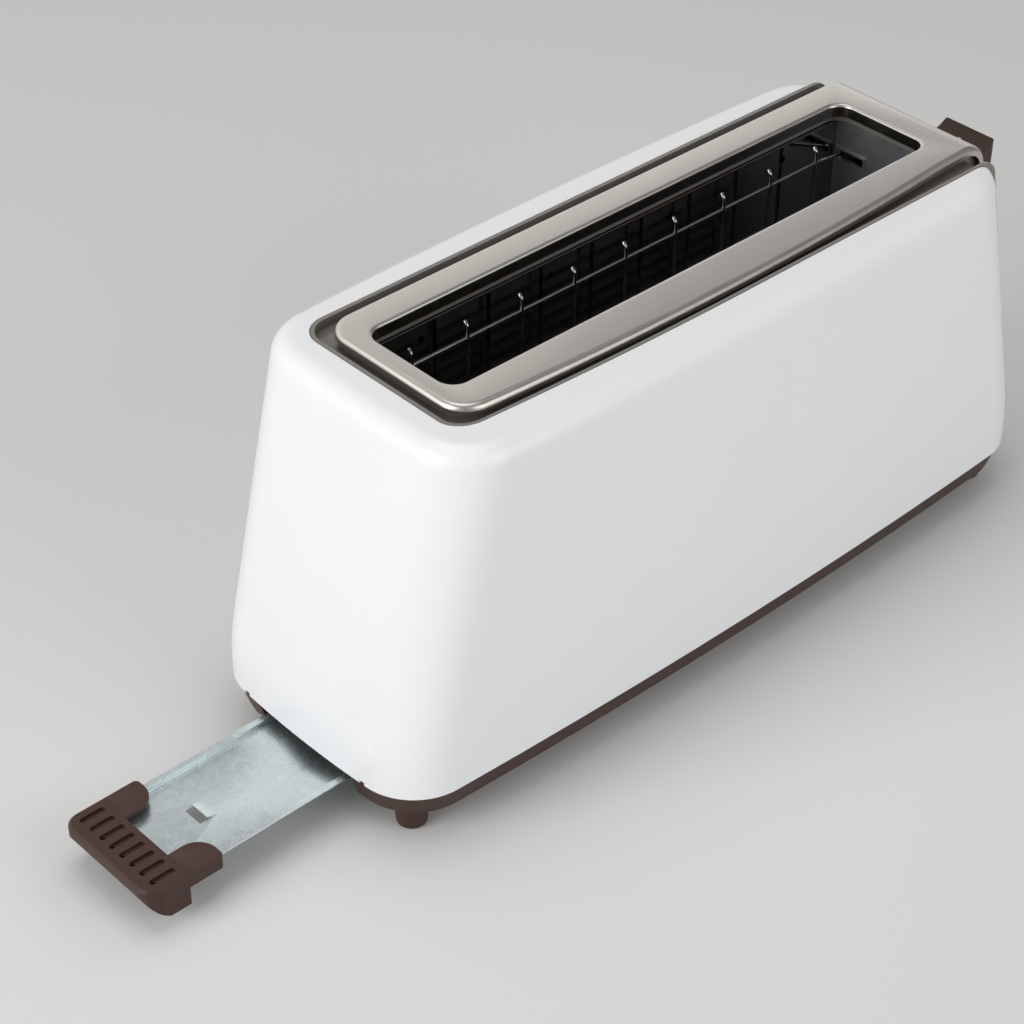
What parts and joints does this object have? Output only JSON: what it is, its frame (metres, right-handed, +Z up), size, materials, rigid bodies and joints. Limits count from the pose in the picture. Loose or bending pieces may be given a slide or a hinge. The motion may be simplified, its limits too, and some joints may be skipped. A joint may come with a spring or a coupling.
{
  "type": "long slot toaster",
  "caption": "Long toaster with a moulded housing, a steel top strip around one long bread slot, and a crumb tray drawn out at the end.",
  "frame": {"origin": "on the worktop, under the middle of the outline with the crumb tray drawn out as pictured", "axes": "+X along the toaster from the crumb tray end to the control end, +Y to the back, +Z up"},
  "size_m": [0.4728, 0.129, 0.172],
  "materials": {
    "white_plastic": "gloss",
    "brown_plastic": "satin",
    "brushed_steel": "brushed",
    "bright_sheet": "polished",
    "plated_wire": "polished",
    "zinc_sheet": "spangled satin",
    "mica": "satin",
    "heater_ribbon": "drawn",
    "copper_winding": "satin",
    "core_iron": "laminated",
    "board_green": "satin",
    "black_plastic": "satin",
    "ivory_plastic": "satin",
    "spring_wire": "drawn"
  },
  "bodies": {
    "housing": {"shell": "white_plastic", "top_bezel": "brown_plastic", "slot_trim": "brushed_steel", "base": "brown_plastic", "foot_near_front": "brown_plastic", "foot_near_back": "brown_plastic", "foot_far_front": "brown_plastic", "foot_far_back": "brown_plastic", "base_screws": "zinc_sheet", "chamber_end_near": "zinc_sheet", "chamber_end_far": "zinc_sheet", "reflector_front": "bright_sheet", "reflector_back": "bright_sheet", "heater_board_front": "mica", "heater_board_back": "mica", "heater_ribbon_front": "heater_ribbon", "heater_ribbon_back": "heater_ribbon", "tray_runner_front": "black_plastic", "tray_runner_back": "black_plastic", "guide_rods": "plated_wire", "near_guide_rod": "plated_wire", "mechanism_frame": "zinc_sheet", "magnet_core": "core_iron", "magnet_coil": "copper_winding", "control_board": "board_green", "button_switches": "black_plastic", "browning_control": "black_plastic", "inlet_bush": "black_plastic", "terminal_block": "ivory_plastic"},
    "carriage_body": {"bread_rack": "plated_wire", "near_slider": "black_plastic", "carriage": "zinc_sheet", "lever_knob": "brown_plastic", "latch_armature": "core_iron", "lift_spring": "spring_wire"},
    "front_guard": {"bread_guard_front": "plated_wire"},
    "back_guard": {"bread_guard_back": "plated_wire"},
    "browning_selector": {"browning_knob": "brown_plastic", "browning_shaft": "zinc_sheet"},
    "cancel": {"cancel_button": "brown_plastic"},
    "defrost": {"defrost_button": "brown_plastic"},
    "reheat": {"reheat_button": "brown_plastic"},
    "tray": {"crumb_tray": "zinc_sheet", "tray_handle": "brown_plastic"}
  },
  "joints": [
    {"name": "carriage_slide", "type": "slide", "parent": "housing", "child": "carriage_body", "axis": [0, 0, -1], "range_m": [0, 0.056], "stiffness_N_per_m": 70, "springref_m": -0.06, "deforming": ["lift_spring"]},
    {"name": "front_guard_tilt", "type": "hinge", "parent": "housing", "child": "front_guard", "pos_m": [0.04313, -0.01754, 0.034], "axis": [-1, 0, 0], "range_deg": [0, 2.5]},
    {"name": "back_guard_tilt", "type": "hinge", "parent": "housing", "child": "back_guard", "pos_m": [0.04313, 0.01754, 0.034], "axis": [1, 0, 0], "range_deg": [0, 2.5]},
    {"name": "browning_turn", "type": "hinge", "parent": "housing", "child": "browning_selector", "pos_m": [0.21753, 0, 0.0526], "axis": [0.971, 0, 0.2392], "range_deg": [-135, 135]},
    {"name": "cancel_press", "type": "slide", "parent": "housing", "child": "cancel", "axis": [-0.971, 0, -0.2392], "range_m": [0, 0.0012], "stiffness_N_per_m": 400, "springref_m": -0.001},
    {"name": "defrost_press", "type": "slide", "parent": "housing", "child": "defrost", "axis": [-0.971, 0, -0.2392], "range_m": [0, 0.0012], "stiffness_N_per_m": 400, "springref_m": -0.001},
    {"name": "reheat_press", "type": "slide", "parent": "housing", "child": "reheat", "axis": [-0.971, 0, -0.2392], "range_m": [0, 0.0012], "stiffness_N_per_m": 400, "springref_m": -0.001},
    {"name": "crumb_tray_slide", "type": "slide", "parent": "housing", "child": "tray", "axis": [1, 0, 0], "range_m": [-0.16, 0.096]}
  ],
  "couplings": [
    {"joint": "front_guard_tilt", "follows": "carriage_slide", "rad_per_m": 0.779},
    {"joint": "back_guard_tilt", "follows": "carriage_slide", "rad_per_m": 0.779}
  ]
}
